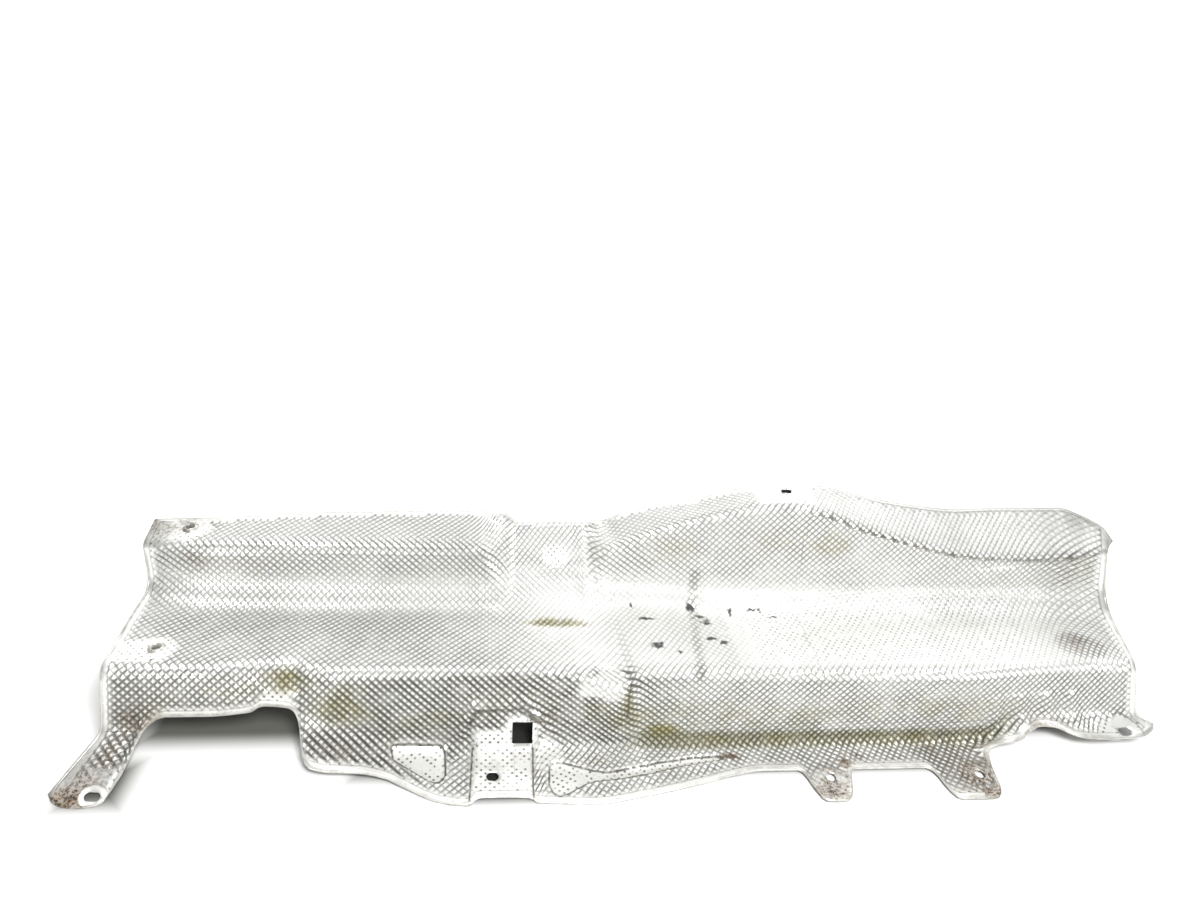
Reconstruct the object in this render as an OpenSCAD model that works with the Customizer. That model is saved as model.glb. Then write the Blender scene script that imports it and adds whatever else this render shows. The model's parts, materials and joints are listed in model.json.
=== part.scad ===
// Pressed aluminium heat shield, one embossed sheet with a hemmed rim.
// x runs along the length, y from the tabbed front to the back flange, z up.

/* [Sheet] */
// Thickness of the sheet
sheet_t = 0.8; // [0.5:0.1:1.5]
// Thickness of the folded hem round the rim
hem_t = 2.2; // [1.2:0.1:3]
// Width of the folded hem
hem_w = 6; // [3:0.5:10]
// Overall length along x
part_len = 1159; // [900:1:1400]

/* [Folds] */
// Height of the trough floor above the lowest tab
trough_z = 95; // [70:1:120]
// Tangent length of the fold at the front of the trough
ridge_fold = 11; // [4:1:20]
// Tangent length of the fold at the foot of the front wall
foot_fold = 10; // [4:1:20]
// Tangent length of the fold at the top of the back wall
crest_fold = 8; // [4:1:16]
// Tangent length of the cove behind the trough, left end
cove_left = 27; // [10:1:45]
// Tangent length of the cove behind the trough, right end
cove_right = 40; // [10:1:50]
// Depth of the valley pressed into the front wall
valley_d = 13; // [0:1:20]
// Depth of the two pockets sunk in the front flange
pocket_d = 2.4; // [0:0.1:4]

/* [Holes] */
// Diameter of the two bolt holes in the small front tabs
tab_hole_d = 10.5; // [6:0.5:14]
// Distance of the tab bolt holes in front of the part's middle
tab_hole_y = 117; // [112:1:124]
// Height of the flat front flange that carries the two small tabs
tab_z = 4.5; // [3:0.5:6]
// Distance between the bolt holes in the two small tabs
tab_hole_gap = 165; // [140:1:190]
// Distance of the left tab slot from the part's middle, along x
left_slot_x = 538; // [530:1:546]
// Distance of the left tab slot in front of the part's middle
left_slot_y = 123; // [118:0.5:124]
// Width of the slot in the long left tab
left_slot_w = 8.8; // [6:0.1:12]
// Length of the slot in the long left tab
left_slot_l = 14.2; // [8:0.1:20]
// Distance of the right end slot from the part's middle, along x
right_slot_x = 535; // [525:1:545]
// Distance of the right end slot in front of the part's middle
right_slot_y = 79; // [76:0.5:81]
// Width of the slot in the right end tab
right_slot_w = 10.8; // [6:0.1:14]
// Length of the slot in the right end tab
right_slot_l = 16.6; // [10:0.1:22]
// Width of the slot in the top pad
top_slot_w = 9; // [6:0.1:12]
// Length of the slot in the top pad
top_slot_l = 12; // [8:0.1:18]
// Width of the slot in the front pad
pad_slot_w = 10; // [6:0.1:12]
// Length of the slot in the front pad
pad_slot_l = 12.6; // [8:0.1:18]
// Side of the square window in the front pad
window_s = 21; // [12:1:28]
// Distance of the collared holes from the part's middle, along x
collar_x = 505; // [495:1:515]
// Distance of the rear collared hole behind the part's middle
collar_y = 102; // [98:1:106]
// Diameter of the two collared holes at the left end
collar_hole_d = 9; // [5:0.5:12]

/* [Part] */
// Which part to build

/* [Hidden] */
$fn = 48;
k = part_len / 1159;
tz = trough_z;

// Where each fold line starts and ends, from the front edge to the back edge
left_x = [-579, -551, -546, -550, -549, -546];
right_x = [580, 560, 541, 583, 557, 573];

// Each line below is a run of [x, y, z] points along the part.
// Back edge of the flange
back = [
  [-546, 114, 163], [-501, 118, 162], [-434, 118, 167], [-338, 123, 171],
  [-226, 129, 171], [-168, 131, 171], [-149, 134, 158], [-47, 136, 158],
  [-30, 126, 172], [6, 120, 188], [61, 110, 206], [117, 106, 224],
  [159, 104, 228], [190, 104, 229], [240, 105, 220], [274, 101, 214],
  [336, 102, 205], [384, 107, 200], [438, 112, 200], [518, 113, 201],
  [538, 110, 196], [555, 100, 191], [568, 90, 185], [573, 78, 176]
];
// Fold between the back wall and the flange, low across the middle channel
crest = [
  [-549, 82, 150], [-529, 76, 153], [-485, 71, 158], [-380, 65, 163],
  [-210, 62, 163], [-189, 63, 159], [-172, 70, 142], [-150, 86, 124],
  [-64, 86, 124], [-49, 73, 158], [-33, 70, 166], [0, 67, 183],
  [64, 62, 208], [129, 59, 224], [162, 57, 226], [198, 56, 220],
  [236, 55, 205], [287, 55, 190], [339, 55, 176], [392, 56, 167],
  [482, 58, 165], [534, 61, 170], [557, 64, 175]
];
// Corner of the cove between the back wall and the trough
cove = [
  [-550, 84, 95], [-525, 71, 95], [-491, 64, 95], [-385, 60, 95],
  [-190, 59, 95], [-150, 46, 96], [-68, 46, 96], [-40, 68, 95],
  [67, 60, 95], [186, 54, 95], [373, 53, 95], [505, 56, 95], [583, 66, 95]
];
// Fold between the trough and the front wall, with the pressed valley
ridge = [
  [-546, -50, 95], [-454, -52, 95], [-409, -45, 95], [-371, -42, 95],
  [-355, -51, 95], [-311, -57, 95], [-213, -56, 95], [-133, -52, 95],
  [-103, -55, 95], [-74, -62, 91], [-42, -71, 95 - valley_d],
  [-32, -70, 96 - valley_d], [-20, -63, 93], [0, -60, 95], [148, -64, 95],
  [315, -64, 95], [424, -55, 95], [488, -47, 95], [541, -51, 95]
];
// Foot of the front wall, up on the wall over the left arch
foot = [
  [-551, -64, 27], [-519, -66, 26], [-508, -63, 46], [-490, -61, 57],
  [-409, -61, 61], [-397, -61, 69], [-371, -61, 67], [-363, -62, 58],
  [-356, -68, 42], [-345, -72, 36], [-332, -73, 33], [-312, -74, 26],
  [-263, -74, 13], [-223, -70, 8], [-193, -69, 7], [-184, -74, 9],
  [-128, -74, 9], [-119, -66, 5], [-98, -65, 5], [-55, -67, 2.5],
  [-20, -65, 4.5], [30, -68, 4.5], [96, -68, tab_z], [372, -68, tab_z],
  [388, -66, 14], [420, -62, 34], [464, -62, 34], [505, -60, 28], [560, -60, 28]
];

// Outline of a front tab: side x, width, root y, tip y, with rounded corners
function tab(x, w, ya, yb) = [
  [x - 8, ya], [x - 2, ya - 8], [x, (ya + yb) / 2], [x + 4, yb + 5], [x + 10, yb],
  [x + w - 10, yb], [x + w, yb + 8], [x + w + 4, (ya + yb) / 2 + 3], [x + w + 10, ya]
];
function flat(l, z) = [for (p = l) [p[0], p[1], z]];
// Free front edge, from the long left tab to the right end tab
long_tab = [
  [-579, -118, 3], [-574, -125, 2], [-563, -131, 1.2], [-550, -133, 1.2],
  [-530, -130, 1.2], [-524, -121, 2], [-521, -94, 9], [-516, -73, 22], [-505, -62, 36]
];
arch = [
  [-490, -61, 43], [-457, -61, 43], [-409, -61, 48], [-397, -61, 56],
  [-371, -61, 53], [-364, -61, 46], [-361, -65, 30], [-356, -88, 20],
  [-346, -103, 14], [-330, -106, 12]
];
belly = [
  [-300, -107, 11], [-272, -112, 9], [-257, -119, 7], [-218, -136, 2],
  [-198, -139, 1.2], [-190, -140, 1.2], [-182, -134, 5], [-130, -135, 5],
  [-124, -138, 1.2], [-62, -141, 1.2], [-22, -135, 1.8], [42, -122, 3.5],
  [86, -111, 4.5], [109, -107, 4.5]
];
tabs = concat(flat(tab(160, 38, -107, -147), tab_z),
  [for (p = flat(tab(302, 57, -107, -148), tab_z)) if (p[0] < 364) p]);
right_end = [
  [366, -100, 6], [370, -90, 11], [388, -86, 15], [407, -85, 18],
  [423, -76, 22], [439, -70, 24], [456, -72, 24], [468, -80, 23],
  [483, -86, 22], [507, -88, 22], [545, -87, 22], [571, -77, 22], [580, -66, 22]
];
front = concat(long_tab, arch, belly, tabs, right_end);

// Value of a fold line at x: a smooth run that never overshoots its points
// The two sunk pockets: front rim, then back rim, as [x, y, share of the depth]
pocket_front = [[-330, -90, 0], [-276, -84, 0], [-273, -86, 1], [-268, -91, 1], [-232, -112, 1],
  [-223, -115, 1], [-216, -110, 1], [-213, -102, 0], [-190, -104, 0], [-130, -104, 0], [-114, -108, 0],
  [-111, -118, 1], [-108, -128, 1], [-101, -132, 1], [-92, -129, 1], [-76, -119, 1], [-39, -112, 1],
  [-8, -107, 1], [25, -99, 1], [68, -92, 1], [76, -89, 0], [130, -92, 0]];
pocket_back = [[-330, -82, 0], [-276, -81, 0], [-273, -77, 1], [-222, -71, 1], [-216, -75, 1],
  [-213, -84, 0], [-190, -84, 0], [-130, -84, 0], [-114, -98, 0], [-111, -94, 1], [-106, -90, 1],
  [-99, -90, 1], [-84, -94, 1], [-69, -99, 1], [-54, -102, 1], [-38, -100, 1], [-17, -96, 1],
  [5, -92, 1], [38, -87, 1], [68, -85, 1], [76, -87, 0], [130, -82, 0]];

function seg(l, x, i = 0) = (i >= len(l) - 2 || x <= l[i + 1][0]) ? i : seg(l, x, i + 1);
function rise(l, i, c) = (l[i + 1][c] - l[i][c]) / (l[i + 1][0] - l[i][0]);
function slope(l, i, c) =
  i == 0 ? rise(l, 0, c) : i == len(l) - 1 ? rise(l, i - 1, c)
  : rise(l, i - 1, c) * rise(l, i, c) <= 0 ? 0
  : 2 * rise(l, i - 1, c) * rise(l, i, c) / (rise(l, i - 1, c) + rise(l, i, c));
function value(l, i, t, h, c) =
  (2 * t * t * t - 3 * t * t + 1) * l[i][c] + (3 * t * t - 2 * t * t * t) * l[i + 1][c]
  + (t * t * t - 2 * t * t + t) * h * slope(l, i, c) + (t * t * t - t * t) * h * slope(l, i + 1, c);
function on_line(l, x) =
  let (i = seg(l, x), h = l[i + 1][0] - l[i][0], t = min(1, max(0, (x - l[i][0]) / h)))
  [value(l, i, t, h, 1), value(l, i, t, h, 2)];

// Stations along x: the corners of the front edge, the channel and the valley,
// with longer gaps filled evenly
s_0 = -546;
s_a = -490;
s_b = 500;
s_1 = 550;
gap = 24;
function to_s(x) =
  x < s_a ? s_a + (x - s_a) * (s_0 - s_a) / (left_x[0] - s_a)
  : x > s_b ? s_b + (x - s_b) * (s_1 - s_b) / (right_x[0] - s_b) : x;
function order(v) = len(v) < 2 ? v : let (m = v[floor(len(v) / 2)])
  concat(order([for (a = v) if (a < m) a]), [m], order([for (a = v) if (a > m) a]));
function thin(v) = [for (i = [0:len(v) - 1]) if (i == 0 || v[i] - v[i - 1] > 1.6) v[i]];
corners = thin(order(concat([for (p = front) to_s(p[0])],
  [for (p = crest) if (p[0] > -200 && p[0] < 40) p[0]],
  [for (p = ridge) if (p[0] > -110 && p[0] < -10) p[0] + 0.5],
  [for (p = pocket_front) if (p[0] > -300 && p[0] < 100) p[0]])));
stations = concat([for (i = [0:len(corners) - 2])
  let (a = corners[i], b = corners[i + 1], n = ceil((b - a) / gap))
  for (q = [0:n - 1]) a + (b - a) * q / n], [corners[len(corners) - 1]]);

// Station to x: the ends are drawn out to meet the slanting end edges
function to_x(s, n) =
  s < s_a ? s_a + (s - s_a) * (left_x[n] - s_a) / (s_0 - s_a)
  : s > s_b ? s_b + (s - s_b) * (right_x[n] - s_b) / (s_1 - s_b)
  : s;
// Heights: the folds ride with the trough, the wall foot is spread between
function lift(z, n) =
  n > 1 ? z + tz - 95 : z <= tab_z ? z : tab_z + (z - tab_z) * (tz - tab_z) / (95 - tab_z);
function at(l, n, s) =
  let (x = to_x(s, n), p = on_line(l, x)) [k * x, p[0], lift(p[1], n)];
function mix(a, b, f) = a + (b - a) * f;
function toward(a, b, d) = a + (b - a) * (min(d, 0.45 * norm(b - a)) / norm(b - a));
function bend(a, b, c, t) = a * (1 - t) * (1 - t) + b * 2 * t * (1 - t) + c * t * t;

// Four points across the front flange: the rims and the floor of the pockets,
// whose floor stays clear of the lowest edge
function share(e, f, y) = abs(f[1] - e[1]) < 12 ? 0.5 : (y - e[1]) / (f[1] - e[1]);
function sunk(p, h) = [p[0], p[1], max(min(p[2], 0.8), p[2] - h)];
function flange(e, f, s) =
  let (
    pf = on_line(pocket_front, s), pb = on_line(pocket_back, s),
    a = min(0.7, max(0.08, share(e, f, pf[0]))),
    d = min(0.94, max(a + 0.12, share(e, f, pb[0]))),
    in = min(2.2 / max(1, norm(f - e)), 0.3 * (d - a)), h = pocket_d * pf[1]
  ) [mix(e, f, a), sunk(mix(e, f, a + in), h), sunk(mix(e, f, d - in), h), mix(e, f, d)];

// Mid-surface points of one section, front edge to back edge
function section(s) =
  let (
    e = at(front, 0, s), f = at(foot, 1, s), r = at(ridge, 2, s),
    w = at(cove, 3, s), t = at(crest, 4, s), b = at(back, 5, s),
    g = (s + 546) / 1096, c = mix(cove_left, cove_right, min(1, max(0, g * 1.6 - 0.5))),
    e1 = toward(e, f, hem_w), f1 = toward(f, e, foot_fold), f2 = toward(f, r, foot_fold),
    r1 = toward(r, f, ridge_fold), r2 = toward(r, w, ridge_fold),
    w1 = toward(w, r, c), w2 = toward(w, t, c),
    t1 = toward(t, w, crest_fold), t2 = toward(t, b, crest_fold),
    b1 = toward(b, t, hem_w)
  ) [
    e, e1, each flange(e1, f1, s), f1, bend(f1, f, f2, 0.5), f2, mix(f2, r1, 0.5),
    r1, bend(r1, r, r2, 0.5), r2, mix(r2, w1, 0.5),
    w1, bend(w1, w, w2, 0.33), bend(w1, w, w2, 0.67), w2, t1, bend(t1, t, t2, 0.5), t2, mix(t2, b1, 0.5), b1, b
  ];

grid = [for (s = stations) section(s)];
nu = len(grid);
nv = len(grid[0]);
function near(i, n) = min(n - 1, max(0, i));
function unit(v) = v / max(1e-6, norm(v));
function dir_u(i, j) = grid[near(i + 1, nu)][j] - grid[near(i - 1, nu)][j];
function dir_v(i, j) = grid[i][near(j + 1, nv)] - grid[i][near(j - 1, nv)];
function up_at(i, j) = unit(cross(dir_u(i, j), dir_v(i, j)));
// The rim is thicker: the sheet is folded back on itself there
function half(i, j) = (i == 0 || i == nu - 1 || j < 2 || j > nv - 3) ? hem_t / 2 : sheet_t / 2;

skin = concat(
  [for (i = [0:nu - 1]) for (j = [0:nv - 1]) grid[i][j] + up_at(i, j) * half(i, j)],
  [for (i = [0:nu - 1]) for (j = [0:nv - 1]) grid[i][j] - up_at(i, j) * half(i, j)]
);
nn = nu * nv;
function id(i, j) = i * nv + j;
function tri(a, b, c, d, turn) = turn ? [[a, b, c], [a, c, d]] : [[a, c, b], [a, d, c]];
cells = concat(
  [for (i = [0:nu - 2]) for (j = [0:nv - 2]) for (q = tri(id(i, j), id(i, j + 1),
    id(i + 1, j + 1), id(i + 1, j), true)) q],
  [for (i = [0:nu - 2]) for (j = [0:nv - 2]) for (q = tri(nn + id(i, j), nn + id(i, j + 1),
    nn + id(i + 1, j + 1), nn + id(i + 1, j), false)) q],
  [for (i = [0:nu - 2]) for (q = tri(id(i, 0), id(i + 1, 0),
    nn + id(i + 1, 0), nn + id(i, 0), true)) q],
  [for (i = [0:nu - 2]) for (q = tri(id(i, nv - 1), id(i + 1, nv - 1),
    nn + id(i + 1, nv - 1), nn + id(i, nv - 1), false)) q],
  [for (j = [0:nv - 2]) for (q = tri(id(0, j), id(0, j + 1),
    nn + id(0, j + 1), nn + id(0, j), false)) q],
  [for (j = [0:nv - 2]) for (q = tri(id(nu - 1, j), id(nu - 1, j + 1),
    nn + id(nu - 1, j + 1), nn + id(nu - 1, j), true)) q]
);

// A slot cutter, its length along x
module slot(x, y, z, w, l) {
  translate([k * x, y, z - 15]) {
    for (d = [-1, 1]) translate([d * (l - w) / 2, 0, 0]) cylinder(h = 30, d = w);
    translate([-(l - w) / 2, -w / 2, 0]) cube([l - w, w, 30]);
  }
}

module bore(x, y, z, d) {
  translate([k * x, y, z - 15]) cylinder(h = 30, d = d);
}

// Middle of the plan and the lowest point, which the origin stands on
mid_x = (min([for (p = skin) p[0]]) + max([for (p = skin) p[0]])) / 2;
mid_y = (min([for (p = skin) p[1]]) + max([for (p = skin) p[1]])) / 2;
low_z = min([for (p = skin) p[2]]);

module heat_shield() {
  color([0.78, 0.79, 0.8]) translate([-mid_x, -mid_y, -low_z])
  difference() {
    polyhedron(points = skin, faces = cells);
    for (d = [-1, 1]) bore(264.5 + d * tab_hole_gap / k / 2, -tab_hole_y, tab_z, tab_hole_d);
    slot(-left_slot_x, -left_slot_y, 4, left_slot_w, left_slot_l);
    slot(right_slot_x, -right_slot_y, 22, right_slot_w, right_slot_l);
    slot(157, 92, tz + 133, top_slot_w, top_slot_l);
    slot(-168, -110, 6, pad_slot_w, pad_slot_l);
    translate([k * -149, -58 - window_s, 0]) cube([window_s, window_s, 17]);
    bore(-collar_x, collar_y, tz + 68, collar_hole_d);
    bore(-collar_x, -21, tz, collar_hole_d);
  }
}

heat_shield();
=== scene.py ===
import bpy
import json
import math
import numpy as np
from mathutils import Matrix, Vector

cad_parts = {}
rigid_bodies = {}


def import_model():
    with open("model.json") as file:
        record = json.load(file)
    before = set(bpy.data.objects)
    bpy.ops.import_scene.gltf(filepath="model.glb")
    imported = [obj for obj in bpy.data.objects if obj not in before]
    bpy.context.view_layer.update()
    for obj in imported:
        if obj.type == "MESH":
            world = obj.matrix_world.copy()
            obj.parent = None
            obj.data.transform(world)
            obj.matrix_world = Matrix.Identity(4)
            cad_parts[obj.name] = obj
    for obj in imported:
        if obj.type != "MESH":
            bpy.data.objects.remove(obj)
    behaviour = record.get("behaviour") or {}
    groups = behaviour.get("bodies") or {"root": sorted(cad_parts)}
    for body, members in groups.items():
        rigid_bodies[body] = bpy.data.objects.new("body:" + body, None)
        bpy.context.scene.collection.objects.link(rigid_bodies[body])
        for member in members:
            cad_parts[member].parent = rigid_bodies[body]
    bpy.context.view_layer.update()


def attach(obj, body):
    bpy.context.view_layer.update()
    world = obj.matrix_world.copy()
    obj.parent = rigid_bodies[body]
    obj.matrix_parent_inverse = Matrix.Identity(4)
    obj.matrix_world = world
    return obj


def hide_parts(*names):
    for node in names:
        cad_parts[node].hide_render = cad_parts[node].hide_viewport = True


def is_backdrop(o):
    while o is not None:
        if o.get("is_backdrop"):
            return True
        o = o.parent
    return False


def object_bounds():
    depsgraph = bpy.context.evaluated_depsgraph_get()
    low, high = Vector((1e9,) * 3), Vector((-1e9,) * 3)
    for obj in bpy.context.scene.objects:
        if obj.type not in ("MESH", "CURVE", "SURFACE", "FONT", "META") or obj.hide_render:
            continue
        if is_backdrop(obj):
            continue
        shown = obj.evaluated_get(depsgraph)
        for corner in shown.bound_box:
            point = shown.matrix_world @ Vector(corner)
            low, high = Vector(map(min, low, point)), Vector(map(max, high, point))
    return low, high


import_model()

MM = 0.001
# The plan's middle and the lowest point, which the frame's origin stands on
MIDDLE = np.array([0.50, -5.72, 0.10])

# Sheet layout
SHEET = 0.8          # sheet thickness, mm
HEM_T = 2.0          # folded rim thickness
HEM_W = 5.0          # folded rim width
PITCH = 4.0          # half the emboss diagonal
DEPTH = 0.78         # emboss depth either side of the mid-surface
TURN = math.radians(6.3)   # the pattern's turn on the right-hand half

LEFT = [-579, -551, -546, -550, -549, -546]
RIGHT = [580, 560, 541, 583, 557, 573]

back = [
    (-546, 114, 163), (-501, 118, 162), (-434, 118, 167), (-338, 123, 171),
    (-226, 129, 171), (-168, 131, 171), (-149, 134, 158), (-47, 136, 158),
    (-30, 126, 172), (6, 120, 188), (61, 110, 206), (117, 106, 224),
    (159, 104, 228), (190, 104, 229), (240, 105, 220), (274, 101, 214),
    (336, 102, 205), (384, 107, 200), (438, 112, 200), (518, 113, 201),
    (538, 110, 196), (555, 100, 191), (568, 90, 185), (573, 78, 176)]
crest = [
    (-549, 82, 150), (-529, 76, 153), (-485, 71, 158), (-380, 65, 163),
    (-210, 62, 163), (-189, 63, 159), (-172, 70, 142), (-150, 86, 124),
    (-64, 86, 124), (-49, 73, 158), (-33, 70, 166), (0, 67, 183),
    (64, 62, 208), (129, 59, 224), (162, 57, 226), (198, 56, 220),
    (236, 55, 205), (287, 55, 190), (339, 55, 176), (392, 56, 167),
    (482, 58, 165), (534, 61, 170), (557, 64, 175)]
cove = [
    (-550, 84, 95), (-525, 71, 95), (-491, 64, 95), (-385, 60, 95),
    (-190, 59, 95), (-150, 46, 96), (-68, 46, 96), (-40, 68, 95),
    (67, 60, 95), (186, 54, 95), (373, 53, 95), (505, 56, 95), (583, 66, 95)]
ridge = [
    (-546, -50, 95), (-454, -52, 95), (-409, -45, 95), (-371, -42, 95),
    (-355, -51, 95), (-311, -57, 95), (-213, -56, 95), (-133, -52, 95),
    (-103, -55, 95), (-74, -62, 91), (-42, -71, 82), (-32, -70, 83),
    (-20, -63, 93), (0, -60, 95), (148, -64, 95), (315, -64, 95),
    (424, -55, 95), (488, -47, 95), (541, -51, 95)]
foot = [
    (-551, -64, 27), (-519, -66, 26), (-508, -63, 46), (-490, -61, 57),
    (-409, -61, 61), (-397, -61, 69), (-371, -61, 67), (-363, -62, 58),
    (-356, -68, 42), (-345, -72, 36), (-332, -73, 33), (-312, -74, 26),
    (-263, -74, 13), (-223, -70, 8), (-193, -69, 7), (-184, -74, 9),
    (-128, -74, 9), (-119, -66, 5), (-98, -65, 5), (-55, -67, 2.5),
    (-20, -65, 4.5), (30, -68, 4.5), (96, -68, 4.5), (372, -68, 4.5),
    (388, -66, 14), (420, -62, 34), (464, -62, 34), (505, -60, 28), (560, -60, 28)]


def tab(x, w, ya, yb, z=4.5):
    pts = [(x - 8, ya), (x - 2, ya - 8), (x, (ya + yb) / 2), (x + 4, yb + 5), (x + 10, yb),
           (x + w - 10, yb), (x + w, yb + 8), (x + w + 4, (ya + yb) / 2 + 3), (x + w + 10, ya)]
    return [(a, b, z) for a, b in pts]


front = [
    (-579, -118, 3), (-574, -125, 2), (-563, -131, 1.2), (-550, -133, 1.2),
    (-530, -130, 1.2), (-524, -121, 2), (-521, -94, 9), (-516, -73, 22), (-505, -62, 36),
    (-490, -61, 43), (-457, -61, 43), (-409, -61, 48), (-397, -61, 56),
    (-371, -61, 53), (-364, -61, 46), (-361, -65, 30), (-356, -88, 20),
    (-346, -103, 14), (-330, -106, 12),
    (-300, -107, 11), (-272, -112, 9), (-257, -119, 7), (-218, -136, 2),
    (-198, -139, 1.2), (-190, -140, 1.2), (-182, -134, 5), (-130, -135, 5),
    (-124, -138, 1.2), (-62, -141, 1.2), (-22, -135, 1.8), (42, -122, 3.5),
    (86, -111, 4.5), (109, -107, 4.5)] + tab(160, 38, -107, -147) \
    + [p for p in tab(302, 57, -107, -148) if p[0] < 364] + [
    (366, -100, 6), (370, -90, 11), (388, -86, 15), (407, -85, 18),
    (423, -76, 22), (439, -70, 24), (456, -72, 24), (468, -80, 23),
    (483, -86, 22), (507, -88, 22), (545, -87, 22), (571, -77, 22), (580, -66, 22)]
LINES = [np.array(l, float) for l in (front, foot, ridge, cove, crest, back)]
S0, SA, SB, S1 = -546.0, -490.0, 500.0, 550.0


def on_line(l, x):
    """Smooth run through a fold line's points that never overshoots them."""
    xs = l[:, 0]
    i = int(np.clip(np.searchsorted(xs, x, side="left") - 1, 0, len(xs) - 2))
    rise = np.diff(l[:, 1:], axis=0) / np.diff(xs)[:, None]

    def slope(k):
        if k == 0:
            return rise[0]
        if k == len(xs) - 1:
            return rise[-1]
        a, b = rise[k - 1], rise[k]
        both = a * b
        return np.where(both <= 0, 0, 2 * both / np.where(a + b == 0, 1, a + b))
    h = xs[i + 1] - xs[i]
    t = min(1.0, max(0.0, (x - xs[i]) / h))
    return ((2 * t**3 - 3 * t * t + 1) * l[i, 1:] + (3 * t * t - 2 * t**3) * l[i + 1, 1:]
            + (t**3 - 2 * t * t + t) * h * slope(i) + (t**3 - t * t) * h * slope(i + 1))


def to_x(s, n):
    if s < SA:
        return s + (SA - s) - (SA - s) * (LEFT[n] - SA) / (S0 - SA)
    if s > SB:
        return SB + (s - SB) * (RIGHT[n] - SB) / (S1 - SB)
    return s


def ease(x, a, b):
    t = np.clip((np.asarray(x, float) - a) / (b - a), 0, 1)
    return t * t * (3 - 2 * t)


def turn_at(s):
    """How far the emboss rows have turned at a station."""
    return TURN * float(ease(s, -230, -60))


PHI_S = np.arange(S0, S1 + 1, 1.0)
PHI = np.concatenate([[0], np.cumsum([math.tan(turn_at(s)) for s in PHI_S[:-1]])])


def phi(s):
    return float(np.interp(s, PHI_S, PHI))


def corner_points(s, lean):
    pts = []
    for n in range(6):
        x = to_x(s, n) + lean[n]
        y, z = on_line(LINES[n], x)
        pts.append(np.array([x, y, z]))
    return pts


def toward(a, b, d):
    n = np.linalg.norm(b - a)
    return a + (b - a) * (min(d, 0.45 * n) / max(n, 1e-6))


def bend(a, b, c, n):
    t = np.linspace(0, 1, n + 1)[:, None]
    return a * (1 - t)**2 + b * 2 * t * (1 - t) + c * t * t


class Section:
    """One cross-section as a fine polyline, measured along the sheet from near the ridge."""

    def __init__(self, s):
        flat = corner_points(s, [0] * 6)
        d = [np.linalg.norm(flat[k + 1] - flat[k]) for k in range(5)]
        along = [-d[1] - d[0], -d[1], 0, d[2], d[2] + d[3], d[2] + d[3] + d[4]]
        fade = float(ease(s, S0, S0 + 60) * (1 - ease(s, S1 - 85, S1 - 5)))
        lean = [-math.tan(turn_at(s)) * a * fade for a in along]
        e, f, r, w, t, b = corner_points(s, lean)
        g = (s - S0) / (S1 - S0)
        c = 27 + 13 * min(1, max(0, g * 1.6 - 0.5))
        run = [e[None], bend(toward(f, e, 10), f, toward(f, r, 10), 8),
               bend(toward(r, f, 11), r, toward(r, w, 11), 8),
               bend(toward(w, r, c), w, toward(w, t, c), 12),
               bend(toward(t, w, 8), t, toward(t, b, 8), 8), b[None]]
        self.p = np.concatenate(run)
        step = np.linalg.norm(np.diff(self.p, axis=0), axis=1)
        arc = np.concatenate([[0], np.cumsum(step)])
        # rows run straight along the floor, and the front wall takes the ridge's wander
        self.v = arc - arc[1 + 9 + 4] + r[1] + 55
        self.foot, self.crest = self.v[1 + 4], self.v[1 + 9 + 9 + 13 + 4]
        self.s = s

    def at(self, v):
        return np.array([np.interp(v, self.v, self.p[:, k]) for k in range(3)])

    def v_of_y(self, y, lo=None, hi=None):
        vs = np.arange(self.v[0] if lo is None else lo, self.v[-1] if hi is None else hi, 0.5)
        ys = np.interp(vs, self.v, self.p[:, 1])
        return float(vs[np.argmin(abs(ys - y))])


# Where the emboss is left out
def blob(p, cx, cy, rx, ry, soft=0.35):
    """1 inside an ellipse on plan, easing to 0 outside."""
    d = np.hypot((p[:, 0] - cx) / rx, (p[:, 1] - cy) / ry)
    return 1 - ease(d, 1, 1 + soft)


def depth_in(x, y, pts):
    """Distance inside an outline, below 0 outside it."""
    best = np.full(len(x), 1e9)
    inside = np.zeros(len(x), bool)
    for k in range(len(pts)):
        (ax, ay), (bx, by) = pts[k], pts[(k + 1) % len(pts)]
        t = ((x - ax) * (bx - ax) + (y - ay) * (by - ay)) / ((bx - ax)**2 + (by - ay)**2)
        t = np.clip(t, 0, 1)
        best = np.minimum(best, np.hypot(x - ax - t * (bx - ax), y - ay - t * (by - ay)))
        if ay != by:
            inside ^= ((ay > y) != (by > y)) & (x < (bx - ax) * (y - ay) / (by - ay) + ax)
    return np.where(inside, best, -best)


CORNER_POCKET = [(-272, -77), (-266, -75), (-222, -71), (-217, -75), (-214, -104),
                 (-217, -112), (-223, -115), (-232, -112), (-268, -91)]
LONG_POCKET = [(-111, -94), (-112, -118), (-108, -128), (-101, -132), (-92, -129),
               (-76, -119), (-64, -114), (-39, -112), (-8, -107), (25, -99), (70, -92),
               (76, -88), (71, -85), (38, -87), (5, -92), (-17, -96), (-38, -100),
               (-54, -102), (-69, -99), (-84, -94), (-99, -90), (-107, -90)]
BACK_LEFT_PAD = [(-565, 125), (-503, 125), (-480, 96), (-500, 81), (-565, 77)]
COLLAR_PAD = [(-565, -14), (-528, -9), (-502, -6), (-486, -21), (-493, -38), (-525, -40), (-565, -36)]
END_PAD = [(502, -82), (512, -68), (535, -62), (560, -64), (573, -76), (555, -92), (520, -93)]
ARCH_BEAD = [(-190, -60), (-199, 12), (-196, 26), (-186, 50), (-162, 51), (-151, 50),
             (-143, 54), (-131, 43), (-121, 32), (-115, 14), (-121, -60)]


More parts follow.
